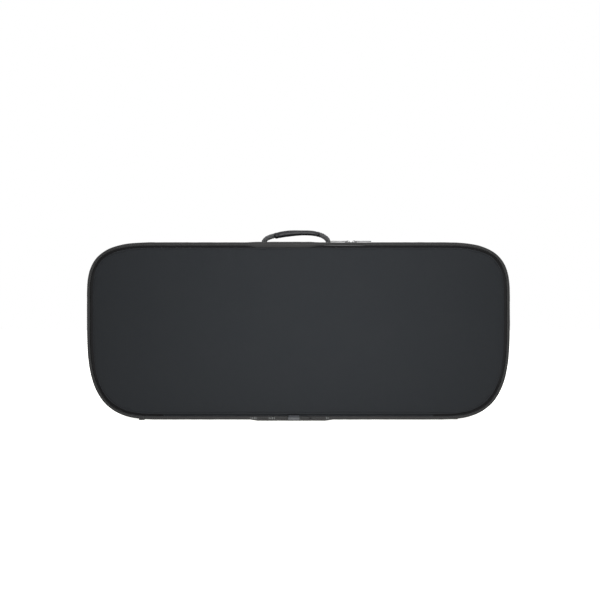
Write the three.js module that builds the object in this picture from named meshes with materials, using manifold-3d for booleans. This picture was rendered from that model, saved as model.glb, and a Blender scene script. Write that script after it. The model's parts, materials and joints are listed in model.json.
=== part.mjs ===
// Zip-round padded battery carry case, standing on its long edge.
// Millimetres, +Z up. The front panel faces -Y and +X is to the right of someone facing it.
// The origin is on the surface that the case stands on, under the middle of the case.
// The front panel, its rim and its half of the zip form a lid that folds down to the front.

import * as THREE from 'three';
import { mergeVertices } from 'three/addons/utils/BufferGeometryUtils.js';
import Module from 'manifold-3d';

const wasm = await Module();
wasm.setup();

// Driving dimensions of the outline, seen from the front.
const HALF_WIDTH = 370;
const TOP_Z = 313;
const BOTTOM_Z = 2.8;
const TOP_CORNER = { across: 128, down: 101 };
const BOTTOM_CORNER = { across: 135, down: 177 };
const CORNER_POWER = 3.2;
const CORNER_STEPS = 8;

// Depths, measured along Y. The back of the case mirrors the front.
const SEAM_Y = 60;
const CROWN = 8;
const CROWN_ROLL = 42;
const BINDING_Y = [57.5, 62.5];
const PANEL_EDGE_Y = 56;
const WALL_BACK_Y = 53.7;
const WALL_FRONT_Y = -26;
const LID_WALL_Y = [-53.7, -44];
const BOTTOM_WALL_FRONT_Y = -50;

// Layers of a wall, as insets from the outline: [outer face, inner face].
const BINDING_INSET = [0, 5];
const COVER_INSET = [1, 2.2];
const BOARD_INSET = [2.5, 4];
const FOAM_INSET = [4.3, 10.3];
const LID_FOAM_INSET = [2.5, 10.3];
const LINER_INSET = [10.6, 11.6];
const GUSSET_INSET = [12, 13];
const PANEL_INSET = 7.6;
const SKIN = 1.4;
const GAP = 0.3;

// The zip runs round the sides and the top in one plane.
const ZIP_Y = -35;
const ZIP_SLIT = 0.7;
const COIL_WIDTH = 3.8;
const TAPE_WIDTH = 8;
const COIL_INSET = [0.6, 2.2];
const TAPE_INSET = [2.5, 3.2];
const COVER_TO_ZIP = 6;

// Along the bottom the wall is whole up to the hinge; the zip and the lid's rim stop short of it.
const BOTTOM_RUN = 268;
const LID_RUN = 274;
const CORNER_TOP_Z = 60;

// Handle: two arches of its curve, and its flat webbing ends.
const GRIP_WIDTH = 21;
const GRIP_THICKNESS = 10.4;
const STRAP_RADIUS = 3;
const ANCHOR_TOP_Z = 314.6;
const HANDLE_PIVOT_Z = ANCHOR_TOP_Z + STRAP_RADIUS + 0.4;

// Zip sliders stand head to head on the top run.
const SLIDER_X = { left: 87, right: 98.4 };
const SLIDER_LENGTH = 10;
const SLIDER_WIDTH = 12;
const PULLER_PIVOT_Z = 315.7;

const case_ = new THREE.Group();

// ---- Helpers ---------------------------------------------------------------------------------

function corner(centre, signX, signZ, size, inset, points) {
  for (let i = 0; i <= CORNER_STEPS; i += 1) {
    const turn = signX * signZ > 0 ? i : CORNER_STEPS - i;
    const t = (turn / CORNER_STEPS) * (Math.PI / 2);
    const u = Math.cos(t) ** (2 / CORNER_POWER);
    const v = Math.sin(t) ** (2 / CORNER_POWER);
    const normal = new THREE.Vector2(
      u ** (CORNER_POWER - 1) / size.across,
      v ** (CORNER_POWER - 1) / size.down,
    ).normalize();
    points.push(new THREE.Vector2(
      centre.x + signX * (u * size.across - inset * normal.x),
      centre.y + signZ * (v * size.down - inset * normal.y),
    ));
  }
}

// The case's outline in (x, z), counter-clockwise, moved inwards by inset.
function outline(inset) {
  const points = [];
  const topX = HALF_WIDTH - TOP_CORNER.across;
  const topZ = TOP_Z - TOP_CORNER.down;
  const bottomX = HALF_WIDTH - BOTTOM_CORNER.across;
  const bottomZ = BOTTOM_Z + BOTTOM_CORNER.down;
  corner(new THREE.Vector2(topX, topZ), 1, 1, TOP_CORNER, inset, points);
  corner(new THREE.Vector2(-topX, topZ), -1, 1, TOP_CORNER, inset, points);
  corner(new THREE.Vector2(-bottomX, bottomZ), -1, -1, BOTTOM_CORNER, inset, points);
  corner(new THREE.Vector2(bottomX, bottomZ), 1, -1, BOTTOM_CORNER, inset, points);
  return points;
}

// An extrusion stands along Y, from y0 (front) to y1 (back).
function standing(shape, y0, y1, bevel = {}) {
  const options = { depth: y1 - y0, bevelEnabled: false, curveSegments: 8, ...bevel };
  const geometry = new THREE.ExtrudeGeometry(shape, options);
  geometry.rotateX(Math.PI / 2);
  geometry.translate(0, y1, 0);
  return geometry;
}

function plate(inset, y0, y1) {
  return standing(new THREE.Shape(outline(inset)), y0, y1);
}

function ring([outer, inner], y0, y1) {
  const shape = new THREE.Shape(outline(outer));
  shape.holes.push(new THREE.Path(outline(inner)));
  return standing(shape, y0, y1);
}

function box(x0, x1, y0, y1, z0, z1) {
  const geometry = new THREE.BoxGeometry(x1 - x0, y1 - y0, z1 - z0);
  geometry.translate((x0 + x1) / 2, (y0 + y1) / 2, (z0 + z1) / 2);
  return geometry;
}

function solid(geometry) {
  const bare = geometry.clone();
  bare.deleteAttribute('normal');
  bare.deleteAttribute('uv');
  const merged = mergeVertices(bare, 1e-4);
  return new wasm.Manifold(new wasm.Mesh({
    numProp: 3,
    vertProperties: new Float32Array(merged.attributes.position.array),
    triVerts: new Uint32Array(merged.index.array),
  }));
}

function geometryOf(manifold) {
  const mesh = manifold.getMesh();
  const geometry = new THREE.BufferGeometry();
  geometry.setAttribute('position', new THREE.BufferAttribute(mesh.vertProperties, 3));
  geometry.setIndex(new THREE.BufferAttribute(mesh.triVerts, 1));
  geometry.computeVertexNormals();
  return geometry;
}

function cut(geometry, ...cutters) {
  return geometryOf(cutters.reduce((rest, cutter) => rest.subtract(solid(cutter)), solid(geometry)));
}

function join(...geometries) {
  return geometryOf(geometries.slice(1).reduce((all, more) => all.add(solid(more)), solid(geometries[0])));
}

function common(a, b) {
  return geometryOf(solid(a).intersect(solid(b)));
}

// The stretch of the bottom wall that reaches forward to the hinge.
function bottomRun(halfLength) {
  return box(-halfLength, halfLength, -90, 90, -10, CORNER_TOP_Z);
}

function material(color, roughness, metalness = 0) {
  return { color, roughness, metalness };
}

function add(name, geometry, finish) {
  const mesh = new THREE.Mesh(geometry, new THREE.MeshStandardMaterial(finish));
  mesh.name = name;
  case_.add(mesh);
  return mesh;
}

const FABRIC = material(0x3a3b3e, 0.85);
const BINDING = material(0x343436, 0.8);
const FOAM = material(0x55585c, 0.95);
const BOARD = material(0x2b2d30, 0.6);
const LINER = material(0xb9bcc0, 0.45);
const PADDED_LINER = material(0x8f9398, 0.6);
const WEBBING = material(0x46474a, 0.8);
const GRIP = material(0x141416, 0.3);
const ZIP = material(0x1b1b1d, 0.5);
const METAL = material(0x6f7378, 0.35, 0.8);
const CLIP = material(0x77797d, 0.5);
const RUBBER = material(0x232325, 0.8);

// ---- Crowned panels --------------------------------------------------------------------------

// A plate whose front face is crowned: it rises from its edge over a wide rounded roll.
function crownedPlate(inset, backY, crestY, roll) {
  const rise = CROWN;
  const depth = backY - (crestY + rise) + 2;
  const bevel = {
    bevelEnabled: true,
    bevelThickness: rise,
    bevelSize: roll,
    bevelSegments: 4,
  };
  const geometry = standing(new THREE.Shape(outline(inset + roll)), 0, depth, bevel);
  geometry.translate(0, crestY + rise, 0);
  return cut(geometry, box(-500, 500, backY, backY + 60, -100, 500));
}

// Panel layers as they lie at the front; the back panel is the same, turned to face +Y.
function panelCover() {
  const crest = -SEAM_Y - CROWN;
  const outer = crownedPlate(PANEL_INSET, -PANEL_EDGE_Y, crest, CROWN_ROLL);
  const hollow = crownedPlate(PANEL_INSET + SKIN, -PANEL_EDGE_Y + 1, crest + SKIN, CROWN_ROLL - SKIN);
  return cut(outer, hollow);
}

function panelPadding() {
  const inset = PANEL_INSET + SKIN + GAP;
  const crest = -SEAM_Y - CROWN + SKIN + GAP;
  return crownedPlate(inset, -PANEL_EDGE_Y - 1.8, crest, CROWN_ROLL - SKIN - GAP);
}

function panelBoard() {
  return plate(PANEL_INSET + SKIN + GAP, -PANEL_EDGE_Y - 1.5, -PANEL_EDGE_Y + 0.5);
}

function panelLiner() {
  return plate(PANEL_INSET - 3, -PANEL_EDGE_Y + 0.8, -PANEL_EDGE_Y + 2);
}

const PANEL_LAYERS = [
  ['panel_cover', panelCover, FABRIC],
  ['panel_padding', panelPadding, FOAM],
  ['panel_board', panelBoard, BOARD],
  ['liner', panelLiner, LINER],
];

for (const [name, shape, finish] of PANEL_LAYERS) {
  const frontName = name === 'liner' ? 'lid_liner' : `front_${name}`;
  let geometry = shape();
  if (name === 'liner') {
    // The lid's liner stops above the hinge, so that it clears the bottom wall as the lid folds down.
    geometry = cut(geometry, box(-500, 500, -90, 0, -10, BOTTOM_Z + PANEL_INSET + GAP));
  }
  add(frontName, geometry, finish);
  add(`rear_${name}`, shape().rotateZ(Math.PI), finish);
}

// ---- Walls of the base -----------------------------------------------------------------------

const coverFrontY = ZIP_Y + COVER_TO_ZIP;
const sideRing = ring(COVER_INSET, coverFrontY, BINDING_Y[0] - GAP);
const hingeRing = ring(COVER_INSET, -BINDING_Y[0] + GAP, coverFrontY + 1);
add('side_cover', join(sideRing, common(hingeRing, bottomRun(BOTTOM_RUN))), FABRIC);

const linerRing = ring(LINER_INSET, WALL_FRONT_Y, WALL_BACK_Y);
const linerFront = ring(LINER_INSET, BOTTOM_WALL_FRONT_Y, WALL_FRONT_Y + 1);
add('side_liner', join(linerRing, common(linerFront, bottomRun(BOTTOM_RUN - 2))), LINER);

for (const [name, inset, finish] of [['board', BOARD_INSET, BOARD], ['padding', FOAM_INSET, FOAM]]) {
  const upper = ring(inset, WALL_FRONT_Y, WALL_BACK_Y);
  const lower = ring(inset, BOTTOM_WALL_FRONT_Y, WALL_BACK_Y);
  add(`side_${name}`, cut(upper, bottomRun(BOTTOM_RUN - 1.4)), finish);
  add(`bottom_${name}`, common(lower, bottomRun(BOTTOM_RUN - 2)), finish);
}

add('rear_binding', ring(BINDING_INSET, ...BINDING_Y), BINDING);

const frontBinding = ring(BINDING_INSET, -BINDING_Y[1], -BINDING_Y[0]);
add('hinge_binding', common(frontBinding, bottomRun(BOTTOM_RUN)), BINDING);

const hingeZ = BOTTOM_Z + 6.2;
const hingeHalf = HALF_WIDTH - BOTTOM_CORNER.across;
add('hinge_strip', box(-hingeHalf, hingeHalf, -59.3, -57.1, hingeZ - 0.8, hingeZ + 0.8), FABRIC);
add('binding_joint_clip', box(-18, 2, -64, -62.9, 0.8, 6), CLIP);
add('bottom_wear_strip', box(-86, 62, -54, 50, 0, BOTTOM_Z + 0.7), RUBBER);

// ---- Lid rim ---------------------------------------------------------------------------------

const lidCoverBackY = ZIP_Y - COVER_TO_ZIP;
const lidGap = bottomRun(LID_RUN);
add('lid_rim_cover', cut(ring(COVER_INSET, -BINDING_Y[0] + GAP, lidCoverBackY), lidGap), FABRIC);
add('lid_rim_padding', cut(ring(LID_FOAM_INSET, ...LID_WALL_Y), lidGap), FOAM);
add('lid_rim_liner', cut(ring(LINER_INSET, ...LID_WALL_Y), lidGap), LINER);
add('front_binding', cut(frontBinding, lidGap), BINDING);

// ---- Zip -------------------------------------------------------------------------------------

for (const [half, side] of [['lid', -1], ['base', 1]]) {
  const meeting = ZIP_Y + side * ZIP_SLIT;
  const coil = [meeting, meeting + side * COIL_WIDTH].sort((a, b) => a - b);
  const tape = [meeting, meeting + side * TAPE_WIDTH].sort((a, b) => a - b);
  add(`zip_coil_${half}`, cut(ring(COIL_INSET, ...coil), lidGap), ZIP);
  add(`zip_tape_${half}`, cut(ring(TAPE_INSET, ...tape), lidGap), ZIP);
}

// The zip's ends are folded into small tabs; the left one hangs down to the floor.
add('zip_end_tab_left', box(-281, -271, -43, -29.6, 0.8, 3), ZIP);
add('zip_end_tab_right', box(271, 281, -43, -29.6, 2, 3), ZIP);

function zipSlider(centreX, outward) {
  const half = SLIDER_LENGTH / 2;
  const wide = SLIDER_WIDTH / 2;
  const upper = box(-half, half, ZIP_Y - wide, ZIP_Y + wide, TOP_Z + 0.4, TOP_Z + 1.6);
  const lower = box(-half, half, ZIP_Y - wide, ZIP_Y + wide, TOP_Z - 4.8, TOP_Z - 3.6);
  const postX = -outward * (half - 2);
  const post = box(postX - 1.5, postX + 1.5, ZIP_Y - 0.4, ZIP_Y + 0.4, TOP_Z - 4, TOP_Z + 1);
  const cheeks = [-1, 1].map((side) => {
    const y = ZIP_Y + side * 1.9;
    return box(-2.2, 2.2, y - 0.6, y + 0.6, TOP_Z + 1.2, TOP_Z + 3.9);
  });
  return join(upper, lower, post, ...cheeks).translate(centreX, 0, 0);
}

// A flat pull tab with a round eye end between the slider's cheeks, lying along the zip.
function zipPuller(centreX, outward) {
  const eye = new THREE.CylinderGeometry(0.9, 0.9, 2, 12);
  eye.translate(0, ZIP_Y, 0);
  const neck = box(0, 8, ZIP_Y - 1, ZIP_Y + 1, -0.6, 0.6);
  const outlineOfTab = new THREE.Shape();
  outlineOfTab.moveTo(7, -2.2);
  outlineOfTab.lineTo(27, -3.6);
  outlineOfTab.absarc(27, 0, 3.6, -Math.PI / 2, Math.PI / 2, false);
  outlineOfTab.lineTo(7, 2.2);
  outlineOfTab.closePath();
  const tab = new THREE.ExtrudeGeometry(outlineOfTab, { depth: 1.4, bevelEnabled: false, curveSegments: 6 });
  tab.translate(0, ZIP_Y, -0.7);
  const puller = join(eye, neck, tab);
  if (outward < 0) {
    puller.translate(0, -ZIP_Y, 0);
    puller.rotateZ(Math.PI);
    puller.translate(0, ZIP_Y, 0);
  }
  return puller.translate(centreX, 0, PULLER_PIVOT_Z);
}

for (const [side, outward] of [['left', -1], ['right', 1]]) {
  add(`zip_slider_${side}`, zipSlider(SLIDER_X[side], outward), METAL);
  add(`zip_puller_${side}`, zipPuller(SLIDER_X[side], outward), METAL);
}

// ---- Handle ----------------------------------------------------------------------------------

function roundedSection(width, thickness) {
  const shape = new THREE.Shape();
  shape.absellipse(0, 0, width / 2, thickness / 2, 0, Math.PI * 2, false, 0);
  return shape;
}

function alongPath(section, points, steps) {
  const path = new THREE.CatmullRomCurve3(points.map(([x, z]) => new THREE.Vector3(x, 0, z)));
  return new THREE.ExtrudeGeometry(section, { steps, extrudePath: path, curveSegments: 3 });
}

const gripPath = [[-43, 327.2], [-28, 330.4], [-12, 333], [8, 333.9], [24, 332.8], [38, 328.2]];
add('handle_grip', alongPath(roundedSection(GRIP_WIDTH, GRIP_THICKNESS), gripPath, 16), GRIP);

const strap = roundedSection(STRAP_RADIUS * 2, STRAP_RADIUS * 1.6);
const leftStrap = [[-62, HANDLE_PIVOT_Z], [-55.5, 322.6], [-44, 326.8]];
const rightStrap = [[54, HANDLE_PIVOT_Z], [47.6, 323], [39.2, 327.6]];
add('handle_strap_left', alongPath(strap, leftStrap, 5), WEBBING);
add('handle_strap_right', alongPath(strap, rightStrap, 5), WEBBING);

const anchorBase = TOP_Z - COVER_INSET[0] + GAP;
add('handle_anchor_left', box(-69, -36, -13, 13, anchorBase, ANCHOR_TOP_Z), WEBBING);
add('handle_anchor_right', box(36, 69, -13, 13, anchorBase, ANCHOR_TOP_Z), WEBBING);

// ---- Fittings inside -------------------------------------------------------------------------

const DIVIDER_HALF = 4;
const DIVIDER_X = { left: -176, centre: 0, right: 176 };
const dividerFloor = BOTTOM_Z + LINER_INSET[1] + GAP;
const dividerCeiling = TOP_Z - LINER_INSET[1] - GAP;
for (const [place, x] of Object.entries(DIVIDER_X)) {
  const panel = box(x - DIVIDER_HALF, x + DIVIDER_HALF, -25, WALL_BACK_Y - GAP, dividerFloor, dividerCeiling);
  add(`divider_${place}`, panel, PADDED_LINER);
}

// Folded cloth gussets inside the lower sides, which stop the lid when it has folded down flat.
for (const [side, sign] of [['left', -1], ['right', 1]]) {
  const band = ring(GUSSET_INSET, -42, -26.5);
  const reach = [sign * 300, sign * 380].sort((a, b) => a - b);
  add(`side_gusset_${side}`, common(band, box(...reach, -50, 0, 40, 165)), FABRIC);
}

// A flat mesh pocket on the lid's liner, with an elastic hem along its open top edge.
const pocketY = -PANEL_EDGE_Y + 2 + GAP;
add('lid_pocket_mesh', box(-255, 255, pocketY, pocketY + 1, 40, 196), BINDING);
add('lid_pocket_hem', box(-255, 255, pocketY, pocketY + 1.8, 196.4, 206), WEBBING);

export default case_;
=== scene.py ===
import json
import math

import bmesh
import bpy
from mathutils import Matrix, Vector
import numpy as np


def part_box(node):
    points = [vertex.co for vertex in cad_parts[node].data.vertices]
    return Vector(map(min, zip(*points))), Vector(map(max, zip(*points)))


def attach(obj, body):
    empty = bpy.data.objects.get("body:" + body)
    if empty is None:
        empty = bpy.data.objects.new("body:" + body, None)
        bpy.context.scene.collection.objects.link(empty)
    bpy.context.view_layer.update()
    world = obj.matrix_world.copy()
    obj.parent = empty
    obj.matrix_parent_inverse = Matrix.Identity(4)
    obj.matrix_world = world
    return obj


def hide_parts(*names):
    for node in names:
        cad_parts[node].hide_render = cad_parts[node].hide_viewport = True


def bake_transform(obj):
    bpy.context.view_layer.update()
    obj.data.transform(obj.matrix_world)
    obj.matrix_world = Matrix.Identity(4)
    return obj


# A padded, zip-round battery case, standing on its long edge. Metres, +Z up, its front facing -Y.
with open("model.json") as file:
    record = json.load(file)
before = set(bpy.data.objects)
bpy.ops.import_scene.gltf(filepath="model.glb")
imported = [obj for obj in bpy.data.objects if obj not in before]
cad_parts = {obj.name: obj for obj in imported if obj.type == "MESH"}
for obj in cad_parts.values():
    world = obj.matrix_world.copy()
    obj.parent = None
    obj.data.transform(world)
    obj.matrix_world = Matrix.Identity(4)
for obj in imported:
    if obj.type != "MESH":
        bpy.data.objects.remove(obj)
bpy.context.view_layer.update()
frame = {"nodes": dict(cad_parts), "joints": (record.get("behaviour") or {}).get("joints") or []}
MM = 0.001
TAU = 2 * math.pi


def unit(vectors):
    return vectors / np.linalg.norm(vectors, axis=-1, keepdims=True)


def length_so_far(points):
    return np.concatenate([[0], np.cumsum(np.linalg.norm(np.diff(points, axis=0), axis=1))])


# ---- The outline, worked out from the frame ---------------------------------------------------

REAR_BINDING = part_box("rear_binding")
HALF_WIDTH = REAR_BINDING[1].x
TOP_Z = REAR_BINDING[1].z
BOTTOM_Z = REAR_BINDING[0].z
TOP_CORNER = (128 * MM, 101 * MM)
BOTTOM_CORNER = (135 * MM, 177 * MM)
CORNER_POWER = 3.2
LOW_Z = 60 * MM

BINDING_FRONT_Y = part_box("front_binding")[0].y
BINDING_BACK_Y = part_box("front_binding")[1].y
ZIP_Y = (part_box("zip_coil_lid")[1].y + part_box("zip_coil_base")[0].y) / 2
HINGE = frame["joints"][0]["pos_m"]
LID_STOP_X = 274 * MM
BASE_STOP_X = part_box("hinge_binding")[1].x


def dense_outline(steps=300):
    """Points and outward normals of the outline in (x, z), clockwise from the bottom's middle."""
    points = [[0.0, BOTTOM_Z]]
    normals = [[0.0, -1.0]]
    corners = [
        (-1, -1, BOTTOM_CORNER, True),
        (-1, 1, TOP_CORNER, False),
        (1, 1, TOP_CORNER, True),
        (1, -1, BOTTOM_CORNER, False),
    ]
    for side, up, (across, down), from_end in corners:
        centre_x = side * (HALF_WIDTH - across)
        centre_z = TOP_Z - down if up > 0 else BOTTOM_Z + down
        turns = np.linspace(0, math.pi / 2, steps)
        if from_end:
            turns = turns[::-1]
        for t in turns:
            u = max(math.cos(t), 0.0) ** (2 / CORNER_POWER)
            v = max(math.sin(t), 0.0) ** (2 / CORNER_POWER)
            normal = np.array([
                side * u ** (CORNER_POWER - 1) / across,
                up * v ** (CORNER_POWER - 1) / down,
            ])
            points.append([centre_x + side * u * across, centre_z + up * v * down])
            normals.append(list(normal / np.linalg.norm(normal)))
    points.append(points[0])
    normals.append(normals[0])
    points = np.array(points)
    return points, np.array(normals), length_so_far(points)


OUTLINE, OUTLINE_NORMALS, OUTLINE_S = dense_outline()
PERIMETER = OUTLINE_S[-1]


class Route:
    """Samples along the outline: how far along each one is, its point and its outward normal."""

    def __init__(self, s, closed=False):
        at = s % PERIMETER
        self.s = s
        self.p = np.stack([np.interp(at, OUTLINE_S, OUTLINE[:, i]) for i in (0, 1)], 1)
        self.n = unit(np.stack([np.interp(at, OUTLINE_S, OUTLINE_NORMALS[:, i]) for i in (0, 1)], 1))
        self.closed = closed

    def place(self, inset, y):
        """Points in space at an inset and a depth, each a number or one per sample."""
        inset = np.broadcast_to(inset, len(self.s))
        flat = self.p - inset[:, None] * self.n
        return np.stack([flat[:, 0], np.broadcast_to(y, len(self.s)), flat[:, 1]], 1)

    def outward(self):
        return np.stack([self.n[:, 0], np.zeros(len(self.s)), self.n[:, 1]], 1)


def stretch(start, end, step, closed=False):
    """A route at even steps."""
    count = max(2, round((end - start) / step))
    return Route(np.linspace(start, end, count, endpoint=not closed), closed)


def loop(step=4 * MM):
    return stretch(0, PERIMETER, step, closed=True)


def reach(x):
    """How far along the outline the bottom run's end at this x is from the bottom's middle."""
    low = OUTLINE[:, 1] < LOW_Z
    left = low & (OUTLINE[:, 0] <= 0) & (OUTLINE_S < PERIMETER / 2)
    return float(np.interp(x, -OUTLINE[left, 0], OUTLINE_S[left]))


def over_top(step=4 * MM, x=LID_STOP_X):
    """From the bottom left corner up, over the top, and down to the bottom right corner."""
    return stretch(reach(x), PERIMETER - reach(x), step)


def along_bottom(step=4 * MM, x=BASE_STOP_X):
    return stretch(-reach(x), reach(x), step)


# ---- Mesh helpers -----------------------------------------------------------------------------


def placed(name, data):
    """A new object in the scene."""
    obj = bpy.data.objects.new(name, data)
    bpy.context.scene.collection.objects.link(obj)
    return obj


def piece(name, vertices, faces, uvs=None, sharp=40):
    mesh = bpy.data.meshes.new(name)
    mesh.from_pydata([tuple(v) for v in np.asarray(vertices, float)], [], [tuple(f) for f in faces])
    if uvs is not None:
        layer = mesh.uv_layers.new(name="Along")
        layer.data.foreach_set("uv", np.asarray(uvs, np.float32).ravel())
    mesh.validate()
    mesh.shade_smooth()
    mesh.set_sharp_from_angle(angle=math.radians(sharp))
    return placed(name, mesh)


def face_out(obj):
    """Turns the faces of a closed piece outwards."""
    work = bmesh.new()
    work.from_mesh(obj.data)
    bmesh.ops.recalc_face_normals(work, faces=work.faces)
    work.to_mesh(obj.data)
    work.free()
    return obj


def grid_faces(rows, columns, wrap_rows, wrap_columns):
    i = np.arange(rows if wrap_rows else rows - 1)
    j = np.arange(columns if wrap_columns else columns - 1)
    i, j = (k.ravel() for k in np.meshgrid(i, j, indexing="ij"))
    i1 = (i + 1) % rows
    j1 = (j + 1) % columns
    return np.stack([i * columns + j, i1 * columns + j, i1 * columns + j1, i * columns + j1], 1)


def loft(name, rings, s, closed=False, sharp=40):
    """Joins closed rings of points into a skin, with end caps unless the rings close on themselves."""
    rows, columns = rings.shape[:2]
    quads = grid_faces(rows, columns, closed, True)
    across = np.linalg.norm(np.diff(rings[0], axis=0, append=rings[0][:1]), axis=1)
    v = np.concatenate([[0], np.cumsum(across)])
    u = np.append(s, s[-1] + s[1] - s[0])
    row, column = quads[:, 0] // columns, quads[:, 0] % columns
    u0, u1, v0, v1 = u[row], u[row + 1], v[column], v[column + 1]
    uvs = np.stack([u0, v0, u1, v0, u1, v1, u0, v1], 1).reshape(-1, 2)
    faces = [list(q) for q in quads]
    if not closed:
        faces.append(list(range(columns))[::-1])
        faces.append([(rows - 1) * columns + j for j in range(columns)])
        uvs = np.concatenate([uvs, rings[0][::-1, :2], rings[-1][:, :2]])
    return face_out(piece(name, rings.reshape(-1, 3), faces, uvs, sharp))


def sweep(name, route, profile):
    """Carries a closed profile of (inset, y) points along a route. It may differ at each sample."""
    profile = np.asarray(profile, float)
    if profile.ndim == 2:
        profile = np.broadcast_to(profile, (len(route.s), *profile.shape))
    flat = route.p[:, None, :] - profile[:, :, :1] * route.n[:, None, :]
    rings = np.stack([flat[:, :, 0], profile[:, :, 1], flat[:, :, 1]], 2)
    return loft(name, rings, route.s, route.closed)


def spline(points, count):
    """A smooth curve through points, as count even samples and the length so far."""
    points = np.asarray(points, float)
    ends = [2 * points[0] - points[1], 2 * points[-1] - points[-2]]
    p = np.concatenate([[ends[0]], points, [ends[1]]])
    t = np.linspace(0, 1, 24, endpoint=False)[:, None]
    curve = []
    for a, b, c, d in zip(p, p[1:], p[2:], p[3:]):
        curve.append(0.5 * (2 * b + (c - a) * t + (2 * a - 5 * b + 4 * c - d) * t**2
                            + (3 * b - a - 3 * c + d) * t**3))
    curve = np.concatenate([*curve, points[-1:]])
    s = length_so_far(curve)
    even = np.linspace(0, s[-1], count)
    return np.stack([np.interp(even, s, curve[:, k]) for k in range(curve.shape[1])], 1), even


def tube(name, path, s, section, sharp=40):
    """Carries a section of (sideways, outward) points along a path of (x, z) points at y 0."""
    tangent = unit(np.gradient(path, axis=0))
    section = np.asarray(section, float)
    if section.ndim == 2:
        section = np.broadcast_to(section, (len(path), *section.shape))
    out = np.stack([-tangent[:, 1], tangent[:, 0]], 1)
    flat = path[:, None, :] + section[:, :, 1:] * out[:, None, :]
    rings = np.stack([flat[:, :, 0], section[:, :, 0], flat[:, :, 1]], 2)
    return loft(name, rings, s, sharp=sharp)


def prism(name, low_ring, high_ring):
    """A closed body between two rings that have as many points as each other."""
    count = len(low_ring)
    faces = [[i, (i + 1) % count, count + (i + 1) % count, count + i] for i in range(count)]
    faces += [list(range(count))[::-1], list(range(count, 2 * count))]
    return face_out(piece(name, np.concatenate([low_ring, high_ring]), faces))


def plate(name, outline, low, high, bevel, segments=2):
    """A flat plate with rounded edges: an outline of (x, y) points from one height to another."""
    outline = np.asarray(outline, float)
    obj = prism(name, *(np.c_[outline, np.full(len(outline), z)] for z in (low, high)))
    if bevel:
        modify(obj, "BEVEL", width=bevel, segments=segments, limit_method="ANGLE")
    obj.data.shade_smooth()
    obj.data.set_sharp_from_angle(angle=math.radians(50))
    return obj


def rounded(x0, x1, y0, y1, radius, steps=4):
    """A rectangle with round corners."""
    points = []
    for x, y, start in [(x1, y1, 0), (x0, y1, 90), (x0, y0, 180), (x1, y0, 270)]:
        centre_x = x - radius if x == x1 else x + radius
        centre_y = y - radius if y == y1 else y + radius
        for k in range(steps + 1):
            angle = math.radians(start + 90 * k / steps)
            points.append([centre_x + radius * math.cos(angle), centre_y + radius * math.sin(angle)])
    return np.array(points)


def along_x(section, x):
    """Rings of one (y, z) section at each x."""
    return np.stack([np.c_[np.full(len(section), at), section] for at in x])


def squared(wave, power):
    """Bends a sine or cosine, so that it traces a rounded square and not a circle."""
    return np.sign(wave) * np.abs(wave) ** (2 / power)


def subdivided(outline, longest):
    """The same closed outline with no side longer than this."""
    points = []
    outline = np.asarray(outline, float)
    for a, b in zip(outline, np.roll(outline, -1, axis=0)):
        count = max(1, math.ceil(np.linalg.norm(b - a) / longest))
        points += [a + (b - a) * k / count for k in range(count)]
    return np.array(points)


def ripple(points, wavelength, seed):
    """A smooth, irregular height at each point, about -1 to 1."""
    draw = np.random.default_rng(seed)
    total = np.zeros(len(points))
    for _ in range(7):
        direction = draw.normal(size=3)
        direction *= TAU / (np.linalg.norm(direction) * wavelength * draw.uniform(0.7, 1.5))
        total += np.sin(points @ direction + draw.uniform(0, TAU))
    return total / 3


def coordinates(obj):
    co = np.zeros(len(obj.data.vertices) * 3, np.float32)
    obj.data.vertices.foreach_get("co", co)
    return co.reshape(-1, 3).astype(float)


def set_coordinates(obj, co):
    obj.data.vertices.foreach_set("co", np.asarray(co, np.float32).ravel())
    obj.data.update()


def vertex_normals(obj):
    normals = np.zeros(len(obj.data.vertices) * 3, np.float32)
    obj.data.vertex_normals.foreach_get("vector", normals)
    return normals.reshape(-1, 3).astype(float)


def soften(obj, amount, wavelength, seed, where=None):
    """Small irregular swells, as cloth over foam has."""
    co = coordinates(obj)
    height = amount * ripple(co, wavelength, seed)
    if where is not None:
        height = height * where(co)
    set_coordinates(obj, co + vertex_normals(obj) * height[:, None])
    return obj


def modify(obj, kind, **settings):
    """Adds a modifier and applies it."""
    modifier = obj.modifiers.new(kind, kind)
    for key, value in settings.items():
        setattr(modifier, key, value)
    shown = bpy.context.evaluated_depsgraph_get()
    mesh = bpy.data.meshes.new_from_object(obj.evaluated_get(shown))
    obj.modifiers.clear()
    obj.data = mesh
    return obj


def settle(obj):
    """Evens out a remeshed piece, and makes it finer."""
    modify(obj, "SMOOTH", factor=0.5, iterations=1)
    subdivide(obj)


def subdivide(obj):
    modify(obj, "SUBSURF", levels=1, render_levels=1)
    obj.data.shade_smooth()


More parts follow.
